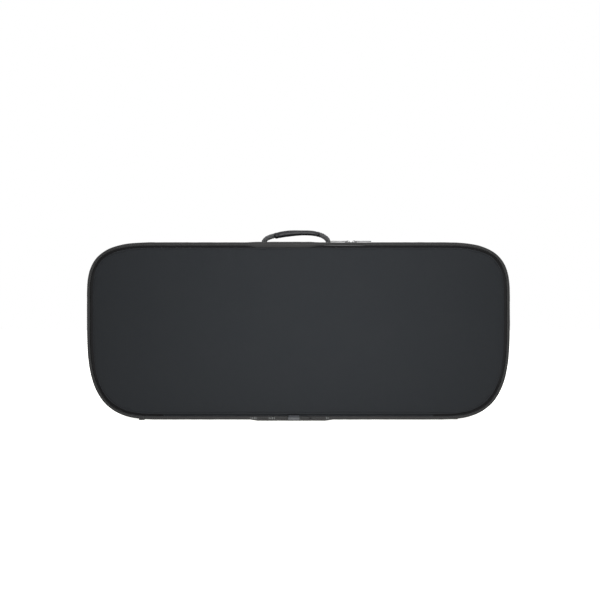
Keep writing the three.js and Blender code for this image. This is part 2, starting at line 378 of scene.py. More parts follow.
def inflate(obj, held, pressure, cap, loose=0.0, frames=20):
    """Cloth simulation of a closed pad. held says which points are sewn down, cap how far one may move."""
    scene = bpy.context.scene
    rest = coordinates(obj)
    group = obj.vertex_groups.new(name="held")
    group.add([int(i) for i in np.nonzero(held(rest))[0]], 1.0, "REPLACE")
    modifier = obj.modifiers.new("Cloth", "CLOTH")
    cloth = modifier.settings
    cloth.quality = 4
    cloth.mass = 0.3
    cloth.tension_stiffness = 15
    cloth.compression_stiffness = 15
    cloth.shear_stiffness = 5
    cloth.bending_stiffness = 0.5
    cloth.use_pressure = True
    cloth.uniform_pressure_force = pressure
    cloth.effector_weights.gravity = 0
    cloth.vertex_group_mass = "held"
    cloth.shrink_min = -loose
    modifier.point_cache.frame_end = frames
    for number in range(1, frames + 1):
        scene.frame_set(number)
    shown = bpy.context.evaluated_depsgraph_get()
    moved = np.zeros(len(rest) * 3, np.float32)
    obj.evaluated_get(shown).data.vertices.foreach_get("co", moved)
    shift = moved.reshape(-1, 3) - rest
    far = np.linalg.norm(shift, axis=1)
    shift *= np.minimum(1, cap / np.maximum(far, 1e-9))[:, None]
    obj.modifiers.clear()
    obj.vertex_groups.clear()
    set_coordinates(obj, rest + shift)
    return obj


def beads(name, middles, along, up, stations, widths, lifts, sides=6, slant=0.0):
    """Many small rounded bodies as one piece, each a row of rings along its own direction."""
    middles, along, up = (np.asarray(a, float) for a in (middles, along, up))
    along = unit(along)
    across = unit(np.cross(up, along))
    along = along * math.cos(slant) + across * math.sin(slant)
    across = np.cross(up, along)
    stations, lifts = np.asarray(stations, float), np.asarray(lifts, float)
    wide, high = np.asarray(widths, float).T
    angles = np.arange(sides) * TAU / sides
    rise = lifts[:, None] + high[:, None] * np.sin(angles)
    side = wide[:, None] * np.cos(angles)
    vertices = (
        middles[:, None, None, :]
        + along[:, None, None, :] * stations[None, :, None, None]
        + up[:, None, None, :] * rise[None, :, :, None]
        + across[:, None, None, :] * side[None, :, :, None]
    ).reshape(-1, 3)
    rings = len(stations)
    one = [list(q) for q in grid_faces(rings, sides, False, True)]
    one += [list(range(sides))[::-1], [(rings - 1) * sides + j for j in range(sides)]]
    faces = [[v + k * rings * sides for v in f] for k in range(len(middles)) for f in one]
    return face_out(piece(name, vertices, faces, sharp=80))


def stitches(name, middles, along, up, length=2.2 * MM, radius=0.24 * MM, slant=0.0):
    """A row of thread stitches that dip into the cloth at both ends, as one piece."""
    t = np.linspace(-0.5, 0.5, 5)
    width = radius * np.array([0.35, 0.9, 1.0, 0.9, 0.35])
    lift = radius * 1.5 * np.cos(t * math.pi) - radius * 0.7
    return beads(name, middles, along, up, t * length, np.c_[width, width], lift, slant=slant)


def seam(name, corners, up, pitch=3.2 * MM):
    """Stitches along straight runs from corner to corner."""
    middles, directions = [], []
    for a, b in zip(np.asarray(corners, float), np.asarray(corners, float)[1:]):
        gap = np.linalg.norm(b - a)
        count = max(1, round(gap / pitch))
        for k in range(count):
            middles.append(a + (b - a) * (k + 0.5) / count)
            directions.append(b - a)
    ups = np.broadcast_to(np.asarray(up, float), (len(middles), 3))
    return stitches(name, middles, directions, ups)


def outline_stitches(name, route, inset, y, up_front, pitch=3.2 * MM, slant=0.0):
    """Stitches along a route. inset is a number, or a function of the row. up_front is how much their
    face looks to the front rather than out."""
    end = PERIMETER if route.closed else route.s[-1]
    row = stretch(route.s[0], end, pitch, route.closed)
    middles = row.place(inset(row) if callable(inset) else inset, y)
    up = unit(row.outward() * (1 - abs(up_front)) + np.array([0, 1.0, 0]) * up_front)
    along = np.stack([-row.n[:, 1], np.zeros(len(row.s)), row.n[:, 0]], 1)
    return stitches(name, middles, along, up, slant=slant)


def joined(name, parts):
    """Several pieces as one mesh object."""
    first = parts[0]
    for other in parts:
        other.data.materials.clear()
    with bpy.context.temp_override(
        active_object=first, object=first, selected_objects=parts, selected_editable_objects=parts,
    ):
        bpy.ops.object.join()
    first.name = name
    first.data.name = name
    return first


# ---- Materials --------------------------------------------------------------------------------


class Shader:
    """A Principled material with short ways to add nodes."""

    def __init__(self, name, colour, roughness, **sockets):
        self.material = bpy.data.materials.new(name)
        self.material.use_nodes = True
        self.nodes = self.material.node_tree.nodes
        self.links = self.material.node_tree.links
        self.surface = next(n for n in self.nodes if n.type == "BSDF_PRINCIPLED")
        self.surface.inputs["Base Color"].default_value = (*colour, 1)
        self.surface.inputs["Roughness"].default_value = roughness
        for socket, value in sockets.items():
            self.surface.inputs[socket.replace("_", " ")].default_value = value
        self.colour = colour
        self.roughness = roughness

    def add(self, kind, inputs=(), **settings):
        node = self.nodes.new("ShaderNode" + kind)
        for key, value in settings.items():
            setattr(node, key, value)
        for key, value in dict(inputs).items():
            self.put(node.inputs[key], value)
        return node

    def put(self, socket, value):
        if isinstance(value, bpy.types.NodeSocket):
            self.links.new(value, socket)
        else:
            socket.default_value = value

    def math(self, operation, *values, clamp=False):
        node = self.add("Math", operation=operation, use_clamp=clamp)
        for socket, value in zip(node.inputs, values):
            self.put(socket, value)
        return node.outputs[0]

    def mix(self, share, a, b):
        node = self.add("Mix", data_type="FLOAT")
        self.put(node.inputs[0], share)
        self.put(node.inputs[2], a)
        self.put(node.inputs[3], b)
        return node.outputs[0]

    def place(self):
        return self.add("TexCoord").outputs["Object"]

    def on_face(self):
        """Two coordinates that lie in the surface, picked by the way it faces."""
        here = self.add("TexCoord")
        point = self.add("SeparateXYZ", {0: here.outputs["Object"]})
        facing = self.add("SeparateXYZ", {0: here.outputs["Normal"]})
        sideways = self.math("GREATER_THAN", self.math("ABSOLUTE", facing.outputs[0]), 0.7072)
        level = self.math("GREATER_THAN", self.math("ABSOLUTE", facing.outputs[2]), 0.7072)
        a = self.mix(sideways, point.outputs[0], point.outputs[1])
        b = self.mix(level, point.outputs[2], point.outputs[1])
        return a, b

    def along(self):
        """Length along a swept piece, and distance across it."""
        uv = self.add("SeparateXYZ", {0: self.add("UVMap", uv_map="Along").outputs[0]})
        return uv.outputs[0], uv.outputs[1]

    def noise(self, size, detail=3.0, roughness=0.55, stretch=None):
        vector = self.place()
        if stretch is not None:
            vector = self.add("Mapping", {0: vector, 3: stretch}).outputs[0]
        node = self.add("TexNoise", {0: vector, 2: 1 / size, 3: detail, 4: roughness})
        return node.outputs[0]

    def weave(self, a, b, pitch, wide=1.0):
        """The height of a plain weave, 0 between the threads to 1 on top of one."""
        warp = self.ribs(a, pitch)
        weft = self.ribs(b, pitch * wide)
        cell = self.math("ADD", self.math("FLOOR", self.math("DIVIDE", a, pitch)),
                         self.math("FLOOR", self.math("DIVIDE", b, pitch * wide)))
        on_top = self.math("PINGPONG", cell, 1.0)
        up = self.math("MULTIPLY", warp, self.math("MULTIPLY_ADD", weft, 0.45, 0.55))
        down = self.math("MULTIPLY", weft, self.math("MULTIPLY_ADD", warp, 0.45, 0.55))
        return self.mix(on_top, up, down)

    def ribs(self, a, pitch):
        return self.math("ABSOLUTE", self.math("SINE", self.math("MULTIPLY", a, math.pi / pitch)))

    def finish(self, height, depth, shade=0.35, mottle=0.12, mottle_size=30 * MM, rough_swing=0.08,
               strength=0.6):
        """Colour, roughness and bump from a height: darker in the gaps, and softly uneven."""
        uneven = self.noise(mottle_size, 4)
        fine = self.noise(1.3 * MM, 2)
        gain = self.math("MULTIPLY_ADD", height, shade, 1 - shade * 0.75)
        gain = self.math("MULTIPLY", gain, self.math("MULTIPLY_ADD", uneven, mottle * 2, 1 - mottle))
        gain = self.math("MULTIPLY", gain, self.math("MULTIPLY_ADD", fine, mottle, 1 - mottle / 2))
        colour = self.add("VectorMath", {0: self.colour}, operation="SCALE")
        self.put(colour.inputs["Scale"], gain)
        self.links.new(colour.outputs[0], self.surface.inputs["Base Color"])
        rough = self.math("MULTIPLY_ADD", uneven, rough_swing * 2, self.roughness - rough_swing, clamp=True)
        self.links.new(rough, self.surface.inputs["Roughness"])
        bump = self.add("Bump", {"Strength": strength, "Distance": depth, "Height": height})
        self.links.new(bump.outputs[0], self.surface.inputs["Normal"])
        return self.material


def cover_cloth():
    s = Shader("cover_cloth", (0.0076, 0.0087, 0.0103), 0.86, Sheen_Weight=0.05, Specular_IOR_Level=0.11)
    a, b = s.on_face()
    return s.finish(s.weave(a, b, 0.62 * MM, 1.15), 0.10 * MM, shade=0.45, mottle=0.07, mottle_size=60 * MM)


# Real cloth at the groove's bottom, made darker and duller than the cover cloth: painted shade in the groove.
def gutter_shade_cloth():
    s = Shader("gutter_shade_cloth", (0.0075, 0.0075, 0.008), 0.95, Specular_IOR_Level=0.06)
    a, b = s.on_face()
    return s.finish(s.weave(a, b, 0.62 * MM), 0.08 * MM, shade=0.4)


def grosgrain():
    s = Shader("grosgrain", (0.0094, 0.0094, 0.0097), 0.72, Sheen_Weight=0.05, Specular_IOR_Level=0.2)
    u, v = s.along()
    slanted = s.math("MULTIPLY_ADD", v, 0.55, u)
    ribs = s.ribs(slanted, 1.15 * MM)
    threads = s.ribs(v, 0.35 * MM)
    height = s.math("MULTIPLY_ADD", threads, 0.15, s.math("MULTIPLY", ribs, 0.85))
    return s.finish(height, 0.22 * MM, shade=0.55, mottle=0.08, strength=0.9)


def webbing():
    s = Shader("webbing", (0.029, 0.030, 0.031), 0.62, Sheen_Weight=0.1, Specular_IOR_Level=0.3)
    a, b = s.on_face()
    return s.finish(s.weave(a, b, 1.5 * MM, 0.7), 0.28 * MM, shade=0.6, mottle=0.08, strength=0.9)


def flat_webbing():
    s = Shader("flat_webbing", (0.017, 0.017, 0.018), 0.7, Specular_IOR_Level=0.25)
    a, b = s.on_face()
    return s.finish(s.weave(a, b, 1.7 * MM, 0.6), 0.25 * MM, shade=0.6, mottle=0.1, strength=0.9)


def thread(name, colour, roughness=0.55):
    s = Shader(name, colour, roughness, Specular_IOR_Level=0.3)
    twist = s.noise(0.5 * MM, 2, stretch=(1, 1, 2.5))
    return s.finish(twist, 0.05 * MM, shade=0.3)


def zip_tape():
    s = Shader("zip_tape", (0.011, 0.011, 0.012), 0.8, Specular_IOR_Level=0.2)
    u, v = s.along()
    herringbone = s.math("ADD", s.math("PINGPONG", v, 1.6 * MM), u)
    return s.finish(s.ribs(herringbone, 0.8 * MM), 0.12 * MM, shade=0.5)


def zip_coil():
    s = Shader("zip_coil", (0.015, 0.015, 0.016), 0.34, Coat_Weight=0.15)
    return s.finish(s.noise(2 * MM, 3), 0.03 * MM, shade=0.2, rough_swing=0.1)


def cast_metal():
    s = Shader("cast_metal", (0.06, 0.06, 0.063), 0.38, Metallic=0.85)
    grain = s.noise(0.9 * MM, 4)
    return s.finish(grain, 0.03 * MM, shade=0.25, mottle=0.2, mottle_size=4 * MM, rough_swing=0.14)


def grip_sleeve():
    s = Shader("grip_sleeve", (0.008, 0.008, 0.0095), 0.42, Specular_IOR_Level=0.14)
    pebble = s.noise(1.2 * MM, 3)
    return s.finish(pebble, 0.035 * MM, shade=0.2, mottle=0.15, mottle_size=9 * MM, rough_swing=0.07)


def clip_plastic(name, colour):
    s = Shader(name, colour, 0.6, Specular_IOR_Level=0.15)
    brushed = s.noise(0.8 * MM, 3, stretch=(0.15, 1, 3))
    return s.finish(brushed, 0.04 * MM, shade=0.3, mottle=0.15, mottle_size=5 * MM)


def rubber():
    s = Shader("rubber", (0.03, 0.03, 0.031), 0.78, Specular_IOR_Level=0.25)
    grain = s.noise(0.9 * MM, 5)
    return s.finish(grain, 0.08 * MM, shade=0.3, mottle=0.2, mottle_size=14 * MM)


def coated_cloth(name, colour, pitch=1.1 * MM):
    s = Shader(name, colour, 0.46, Sheen_Weight=0.1, Coat_Weight=0.15, Coat_Roughness=0.35)
    a, b = s.on_face()
    return s.finish(s.weave(a, b, pitch, 1.3), 0.14 * MM, shade=0.3, mottle=0.08, mottle_size=40 * MM)


def board():
    s = Shader("board", (0.03, 0.032, 0.035), 0.55)
    grain = s.noise(1.2 * MM, 4)
    return s.finish(grain, 0.05 * MM, shade=0.25)


def elastic():
    s = Shader("elastic", (0.018, 0.018, 0.019), 0.7, Specular_IOR_Level=0.25)
    a, b = s.on_face()
    cords = s.math("MULTIPLY", s.ribs(b, 1.6 * MM), 0.4)
    height = s.math("MULTIPLY_ADD", s.ribs(a, 0.9 * MM), 0.6, cords)
    return s.finish(height, 0.3 * MM, shade=0.5)


COVER = cover_cloth()
GUTTER_SHADE_CLOTH = gutter_shade_cloth()
GROSGRAIN = grosgrain()
WEBBING = webbing()
FLAT_WEBBING = flat_webbing()
GUSSET = coated_cloth("gusset_cloth", (0.022, 0.023, 0.025), 0.7 * MM)
THREAD = thread("thread", (0.040, 0.040, 0.041))
# A lighter copy of the thread for the binding's outer edge: real thread, made lighter as painted highlight
# along the lit edge.
EDGE_THREAD_HIGHLIGHT = thread("edge_thread_highlight", (0.060, 0.060, 0.062), 0.6)
PALE_THREAD = thread("pale_thread", (0.20, 0.21, 0.21))
ZIP_TAPE = zip_tape()
ZIP_COIL = zip_coil()
CAST = cast_metal()
GRIP = grip_sleeve()
CLIP = clip_plastic("clip_plastic", (0.046, 0.048, 0.051))
# A darker copy of the clip plastic for the clip's upper face: painted shade.
CLIP_PAINTED_SHADE = clip_plastic("clip_painted_shade", (0.013, 0.014, 0.017))
RUBBER = rubber()
LINER = coated_cloth("coated_liner", (0.235, 0.245, 0.255))
DIVIDER = coated_cloth("coated_divider", (0.15, 0.16, 0.17))
BOARD = board()
ELASTIC = elastic()


def dress(obj, material, body=None, stands_for=()):
    obj.data.materials.clear()
    obj.data.materials.append(material)
    if body is not None:
        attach(obj, body)
    if stands_for:
        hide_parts(*stands_for)
    return obj


# ---- Padded panels ----------------------------------------------------------------------------

EDGE_ROW = loop(2 * MM)


def inset_of(points):
    """How far each point is inside the outline."""
    flat = points[:, [0, 2]]
    found = np.empty(len(flat))
    for start in range(0, len(flat), 4000):
        part = flat[start:start + 4000]
        gap = part[:, None, :] - EDGE_ROW.p[None]
        nearest = (gap**2).sum(2).argmin(1)
        gap = gap[np.arange(len(part)), nearest]
        found[start:start + 4000] = -(gap * EDGE_ROW.n[nearest]).sum(1)
    return found


def slab(name, edge, thickness, voxel):
    """An evenly meshed slab of the outline's shape, centred on y 0."""
    ring = loop(5 * MM)
    obj = prism(name, ring.place(edge, -thickness / 2), ring.place(edge, thickness / 2))
    return modify(obj, "REMESH", mode="VOXEL", voxel_size=voxel)


PANEL_EDGE = HALF_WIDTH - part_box("front_panel_cover")[1].x + 1.6 * MM
BOARD_Y = -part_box("front_panel_board")[0].y
SLAB = 24 * MM
PANEL_LIP = 4.4 * MM
PANEL_CROWN = 5.4 * MM
PANEL_ROLL = 92 * MM


def panel_height(inset):
    """How far a panel stands off its board: a round shoulder at the seam, then a low crown."""
    shoulder = np.clip((inset - PANEL_EDGE) / PANEL_LIP, 0.03, 1)
    roll = np.clip((inset - PANEL_EDGE) / PANEL_ROLL, 0, 1)
    return PANEL_LIP * np.sqrt(1 - (1 - shoulder) ** 2) + PANEL_CROWN * (1 - (1 - roll) ** 2.2)


def padded_panel(name, side, seed):
    """A cloth-covered foam panel, crowned from its sunk edge. side is -1 for the front and 1 for the back."""
    obj = slab(name, PANEL_EDGE + 0.2 * MM, SLAB, 6 * MM)
    co = coordinates(obj)
    outer = np.clip(0.5 + side * co[:, 1] / SLAB, 0, 1)
    inset = inset_of(co)
    co[:, 1] = side * (BOARD_Y + 0.15 * MM + outer * panel_height(inset))
    set_coordinates(obj, co)
    base = BOARD_Y + 0.6 * MM

    def held(points):
        return (np.abs(points[:, 1]) < base) | (inset_of(points) < PANEL_EDGE + 5 * MM)

    inflate(obj, held, pressure=2.5, cap=1.6 * MM, loose=0.01)
    settle(obj)

    def near_edge(points):
        away = np.clip(inset_of(points) - PANEL_EDGE, 0, None)
        face = np.abs(points[:, 1]) > BOARD_Y + 0.8 * MM
        return face * np.exp(-away / (16 * MM)) * np.clip(away / (3 * MM), 0, 1)

    soften(obj, 0.30 * MM, 21 * MM, seed, near_edge)
    soften(obj, 0.35 * MM, 120 * MM, seed + 1, lambda p: np.abs(p[:, 1]) > BOARD_Y + 2 * MM)
    return obj


front_panel = padded_panel("front_panel_pad", -1, 11)
dress(front_panel, COVER, "lid", ["front_panel_cover", "front_panel_padding"])
rear_panel = padded_panel("rear_panel_pad", 1, 23)
dress(rear_panel, COVER, "base", ["rear_panel_cover", "rear_panel_padding"])


def gutter(name, route, side, body):
    """The channel between a panel and its binding. It is dark partly from its depth and partly from its
    cloth, which is darker than the cover as painted shade. It is shallow where it runs up the sides.
    """
    outer = BOARD_Y + 0.2 * MM
    section = np.array([(3.6, 0), (10.4, 0), (10.4, 0.7), (6.3, 0.7), (6.1, 0.7), (3.6, 0.7)]) * MM
    filled = np.array([0, 0, 1, 1, 0, 0]) * 4.0 * MM
    upright = np.clip((np.abs(route.n[:, 0]) - 0.90) / 0.09, 0, 1)
    profile = np.broadcast_to(section, (len(route.s), *section.shape)).copy()
    profile[:, :, 1] += outer + filled * upright[:, None]
    profile[:, :, 1] *= side
    return dress(sweep(name, route, profile), GUTTER_SHADE_CLOTH, body)


def welt(name, side, body):
    """The panel cover's rolled edge: a thin round bead just inside its seam."""
    angles = np.arange(12) * TAU / 12
    radius = 1.3 * MM
    inset = PANEL_EDGE + 1.7 * MM
    outward = BOARD_Y + 3.4 * MM
    profile = np.c_[inset + radius * np.cos(angles), side * (outward + radius * np.sin(angles))]
    obj = soften(sweep(name, loop(), profile), 0.12 * MM, 30 * MM, 15)
    return dress(obj, COVER, body)


gutter("front_gutter", over_top(x=236 * MM), -1, "lid")
gutter("rear_gutter", loop(), 1, "base")
welt("front_panel_welt", -1, "lid")
welt("rear_panel_welt", 1, "base")


# ---- Bindings ---------------------------------------------------------------------------------

BINDING = BINDING_BACK_Y - BINDING_FRONT_Y
# Sections of the tape in mm: (inset, height over its back). Its face turns away towards the panel.
BINDING_SECTION = (
    (0.0, 0.0), (-0.05, 1.2), (-0.05, 2.4), (0.05, 3.4), (0.4, 4.2), (1.0, 4.75), (1.8, 5.0), (2.7, 4.95),
    (3.6, 4.65), (4.4, 4.2), (5.1, 3.6), (5.6, 2.9), (5.9, 2.1), (6.0, 1.1), (5.9, 0.0), (3.0, -0.05),
)
PRESSED_SECTION = (
    (0.0, 0.0), (-0.6, 1.2), (-0.9, 2.4), (-0.8, 3.4), (-0.3, 4.1), (0.8, 4.5), (2.2, 4.6), (3.6, 4.5),
    (5.2, 4.3), (6.9, 4.0), (8.3, 3.6), (9.1, 3.1), (9.5, 2.4), (9.5, 1.3), (9.4, 0.4), (4.5, -0.05),
)
HANDLE_SPAN = (-95 * MM, 40 * MM)
PRESSED_FADE = 26 * MM
CORNER_DRAW = 0.26
FACE_STITCH_INSET = 3.9 * MM
EDGE_STITCH_INSET = 0.42 * MM


def pulled_in(route):
    """How wide the binding is along a route: it draws in where it goes round a corner."""
    return 1 - CORNER_DRAW * np.abs(2 * route.n[:, 0] * route.n[:, 1])


def piping(name, route, y0, seed, side):
    """Ribbed tape folded over a raw edge. It is pressed flat and wide on the lid under the handle."""
    back = y0 + BINDING if side < 0 else y0
    slim = np.array(BINDING_SECTION) * MM
    flat = np.array(PRESSED_SECTION) * MM
    for section in (slim, flat):
        section[:, 1] = back + side * section[:, 1]
    x = route.p[:, 0]
    inside = np.clip(np.minimum(x - HANDLE_SPAN[0], HANDLE_SPAN[1] - x) / PRESSED_FADE, 0, 1)
    spread = inside * inside * (3 - 2 * inside) * (route.p[:, 1] > TOP_Z - 5 * MM) * (side < 0)
    profile = slim[None] + (flat - slim)[None] * spread[:, None, None]
    profile[:, :, 0] *= pulled_in(route)[:, None]
    return soften(sweep(name, route, profile), 0.14 * MM, 17 * MM, seed)


def bind(name, route, y0, side, body, nodes, seed):
    """A run of piping with its two rows of stitches."""
    dress(piping(name, route, y0, seed, side), GROSGRAIN, body, nodes)
    face_y = y0 if side < 0 else y0 + BINDING
    face_row = face_y - side * 0.42 * MM

    def face_inset(row):
        return FACE_STITCH_INSET * pulled_in(row)

    face_stitches = outline_stitches(name + "_thread", route, face_inset, face_row, side, slant=0.22)
    dress(face_stitches, THREAD, body)
    corner_y = face_y - side * 0.75 * MM
    # The edge stitches use the lighter thread: painted highlight along the binding's outer edge.
    edge_stitches = outline_stitches(name + "_edge_thread_highlight", route, EDGE_STITCH_INSET, corner_y, side * 0.5,
                                     slant=0.6)
    dress(edge_stitches, EDGE_THREAD_HIGHLIGHT, body)


JOIN_X = 271 * MM
bind("front_piping", over_top(x=JOIN_X + 0.3 * MM), BINDING_FRONT_Y, -1, "lid", ["front_binding"], 3)
bind("rear_piping", loop(), REAR_BINDING[0].y, 1, "base", ["rear_binding"], 4)
bind("hinge_piping", along_bottom(x=JOIN_X), BINDING_FRONT_Y, -1, "base", ["hinge_binding"], 5)


def highlight_lip():
    """The binding's inner edge, turned out into a thin lip to the right of the handle. It is made in the
    lighter thread colour, not the tape's: a painted highlight along the lip.
    """
    start, end = 44 * MM, 116 * MM
    top_middle = PERIMETER / 2
    route = stretch(top_middle + start, top_middle + end, 2 * MM)
    angles = np.arange(8) * TAU / 8
    fade = np.sin(math.pi * np.linspace(0, 1, len(route.s))) ** 0.4
    radius = 0.5 * MM * np.clip(fade, 0.1, 1)
    inset = 5.6 * MM + 0.5 * MM * np.linspace(0, 1, len(route.s))
    profile = np.stack([
        inset[:, None] + radius[:, None] * np.cos(angles),
        BINDING_FRONT_Y - 0.1 * MM + radius[:, None] * np.sin(angles),
    ], 2)
    # Thread colour, lighter than the tape: painted highlight along the lip.
    dress(sweep("front_piping_lip", route, profile), THREAD, "lid")


highlight_lip()


# ---- Sides ------------------------------------------------------------------------------------

SKIN_FRONT_Y = -29 * MM
HEM = 5 * MM
SKIN_OUTER = 1.15 * MM
SKIN_INNER = 2.35 * MM


def with_jump(x, step=4 * MM):
    """The whole outline, with close samples where the bottom run ends."""
    at = reach(x)
    gap = 0.3 * MM
    extra = [at - gap, at + gap, PERIMETER - at - gap, PERIMETER - at + gap]
    s = np.sort(np.concatenate([loop(step).s, extra]))
    at_bottom = (s < at) | (s > PERIMETER - at)
    return Route(s, closed=True), at_bottom


def skin_profile(y0, y1, crown, steps=16):
    """Cloth stretched over foam: an even band, with a low crown between its ends."""
    t = np.linspace(0, 1, steps)
    y = y0 + (y1 - y0) * t
    swell = crown * np.sin(math.pi * t) ** 0.7
    outer = np.c_[SKIN_OUTER - swell, y]
    inner = np.c_[np.full(steps, SKIN_INNER), y][::-1]
    return np.concatenate([outer, inner])


def side_skin():
    """The cloth round the case, from the rear seam to the zip, and to the hinge along the bottom."""
    route, at_bottom = with_jump(BASE_STOP_X)
    rear_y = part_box("side_cover")[1].y
    short = skin_profile(SKIN_FRONT_Y, rear_y, 0.7 * MM)
    long = skin_profile(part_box("side_cover")[0].y, rear_y, 0.3 * MM)
    profile = np.where(at_bottom[:, None, None], long[None], short[None])
    obj = sweep("side_skin", route, profile)
    soften(obj, 0.22 * MM, 34 * MM, 31)
    dress(obj, COVER, "base", ["side_cover"])
    rows = over_top(x=LID_STOP_X)
    for k, y in enumerate((SKIN_FRONT_Y + 1.4 * MM, SKIN_FRONT_Y + HEM)):
        thread_row = outline_stitches(f"side_hem_thread_{k}", rows, 0.78 * MM, y, 0)
        dress(thread_row, THREAD, "base")


def lid_rim_skin():
    """The cloth round the lid's rim, from the zip to the front seam."""
    low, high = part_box("lid_rim_cover")
    profile = skin_profile(low.y, high.y, 0.5 * MM, 10)
    obj = sweep("lid_rim_skin", over_top(), profile)
    soften(obj, 0.18 * MM, 30 * MM, 32)
    dress(obj, COVER, "lid", ["lid_rim_cover"])
    thread_row = outline_stitches("lid_hem_thread", over_top(), 0.85 * MM, high.y - 1.6 * MM, 0)
    dress(thread_row, THREAD, "lid")


side_skin()
lid_rim_skin()


# ---- Zip --------------------------------------------------------------------------------------

TOOTH_PITCH = 2.4 * MM
COIL_INSET = 1.4 * MM
TAPE_OUTER = 2.5 * MM
TAPE_INNER = 3.15 * MM


def tape(name, node, body):
    low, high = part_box(node)
    profile = rounded(TAPE_OUTER, TAPE_INNER, low.y, high.y, 0.28 * MM, 3)
    dress(sweep(name, over_top(), profile), ZIP_TAPE, body, [node])


def teeth(name, node, side, body):
    """One half of the coil. side is -1 on the lid and 1 on the base, whose teeth stand between the lid's."""
    half = TOOTH_PITCH / 2 if side > 0 else 0
    first, last = reach(LID_STOP_X), PERIMETER - reach(LID_STOP_X)
    row = stretch(first + 2 * MM + half, last - 4 * MM + half, TOOTH_PITCH)
    middles = row.place(COIL_INSET, ZIP_Y)
    along = np.broadcast_to([0.0, side, 0.0], middles.shape)
    stations = np.array([-0.45, -0.15, 0.35, 1.2, 2.6, 3.6, 4.2]) * MM
    wide = np.array([0.35, 0.56, 0.54, 0.44, 0.44, 0.5, 0.3]) * MM
    high = np.array([0.4, 0.72, 0.78, 0.66, 0.62, 0.72, 0.45]) * MM
    lifts = np.array([0.0, 0.0, 0.02, 0.05, 0.0, -0.1, -0.3]) * MM
    obj = beads(name, middles, along, row.outward(), stations, np.c_[wide, high], lifts, sides=8)
    dress(obj, ZIP_COIL, body, [node])
    for k, gap in enumerate((2.0 * MM, 5.2 * MM)):
        line = outline_stitches(f"{name}_thread_{k}", over_top(), COIL_INSET - 0.62 * MM + k * 1.65 * MM,
                                ZIP_Y + side * gap, 0, pitch=TOOTH_PITCH)
        dress(line, THREAD, body)


tape("zip_tape_lid_woven", "zip_tape_lid", "lid")
tape("zip_tape_base_woven", "zip_tape_base", "base")
teeth("zip_teeth_lid", "zip_coil_lid", -1, "lid")
teeth("zip_teeth_base", "zip_coil_base", 1, "base")


def end_tab(name, node):
    """The tape's folded end, sewn down under a corner."""
    low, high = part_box(node)
    outline = rounded(low.x, high.x, low.y, high.y, 1.6 * MM)
    obj = plate(name, outline, low.z, high.z, 0.5 * MM)
    dress(obj, ZIP_TAPE, "base", [node])
    inner = 1.6 * MM
    x0, x1, y0, y1 = low.x + inner, high.x - inner, low.y + inner, high.y - inner
    z = low.z
    box_row = [(x0, y0, z), (x1, y0, z), (x1, y1, z), (x0, y1, z), (x0, y0, z), (x1, y1, z)]
    dress(seam(name + "_thread", box_row, (0, 0, -1), 2.6 * MM), THREAD, "base")


end_tab("zip_end_left", "zip_end_tab_left")
end_tab("zip_end_right", "zip_end_tab_right")

PULL_PIVOT_Z = frame["joints"][4]["pos_m"][2]
# Outlines in mm, (x, y) from the slider's middle, its blunt end towards +x.
SLIDER_PLATE = (
    (-5, -4.6), (-3.4, -5.7), (0, -5.9), (3, -4.9), (4.6, -4.1), (5, -3), (4.2, -1.2), (4.2, 1.2),
    (5, 3), (4.6, 4.1), (3, 4.9), (0, 5.9), (-3.4, 5.7), (-5, 4.6), (-4.2, 1.5), (-4.2, -1.5),
)
SLIDER_FLANGE = (
    (-4.6, 4.3), (-3.2, 5.3), (0, 5.6), (2.8, 4.6), (4.5, 3.8), (4.2, 3.0), (2.6, 3.8), (0, 4.7),
    (-3.0, 4.4), (-4.4, 3.6),
)
SLIDER_WEDGE = ((-4, 0.2), (-2.6, -1.1), (-1.2, 0), (-2.6, 1.1))
PULL_HALF_WIDTHS = (2.0, 3.0, 3.2, 2.9, 2.7, 3.0, 3.4, 3.3, 2.4)
PULL_RIBS = 6


def mirrored(points, centre, side):
    points = np.array(points, float) * MM
    points[:, 0] = centre + side * points[:, 0]
    return points


def slider(name, node, side):
    """A two-plate zip slider with side flanges and a bridge. side is the way its pull points."""
    low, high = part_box(node)
    centre = (low.x + high.x) / 2
    outline = mirrored(SLIDER_PLATE, centre, side) + [0, ZIP_Y]
    parts = [
        plate(name, outline, TOP_Z - 0.1 * MM, TOP_Z + 1.3 * MM, 0.45 * MM),
        plate(name + "_under", outline, low.z + 0.3 * MM, low.z + 1.4 * MM, 0.4 * MM),
    ]
    for edge in (-1, 1):
        flange = mirrored(SLIDER_FLANGE, centre, side) * [1, edge] + [0, ZIP_Y]
        parts.append(plate(f"{name}_flange", flange, TOP_Z - 2.0 * MM, TOP_Z + 0.3 * MM, 0.25 * MM))
    wedge = mirrored(SLIDER_WEDGE, centre, side) + [0, ZIP_Y]
    parts.append(plate(name + "_post", wedge, low.z + 1 * MM, TOP_Z + 0.2 * MM, 0.1 * MM))
    turns = np.linspace(0, math.pi, 17)
    arch = np.c_[centre + 3.5 * MM * np.cos(turns), TOP_Z + 0.8 * MM + 2.85 * MM * np.sin(turns) ** 0.8]
    s = np.arange(len(arch)) * 0.5 * MM
    section = rounded(-1.2 * MM, 1.2 * MM, -0.38 * MM, 0.38 * MM, 0.25 * MM, 3)
    parts.append(tube(name + "_bridge", arch, s, section + [ZIP_Y, 0]))
    return dress(joined(name, parts), CAST, node, [node])


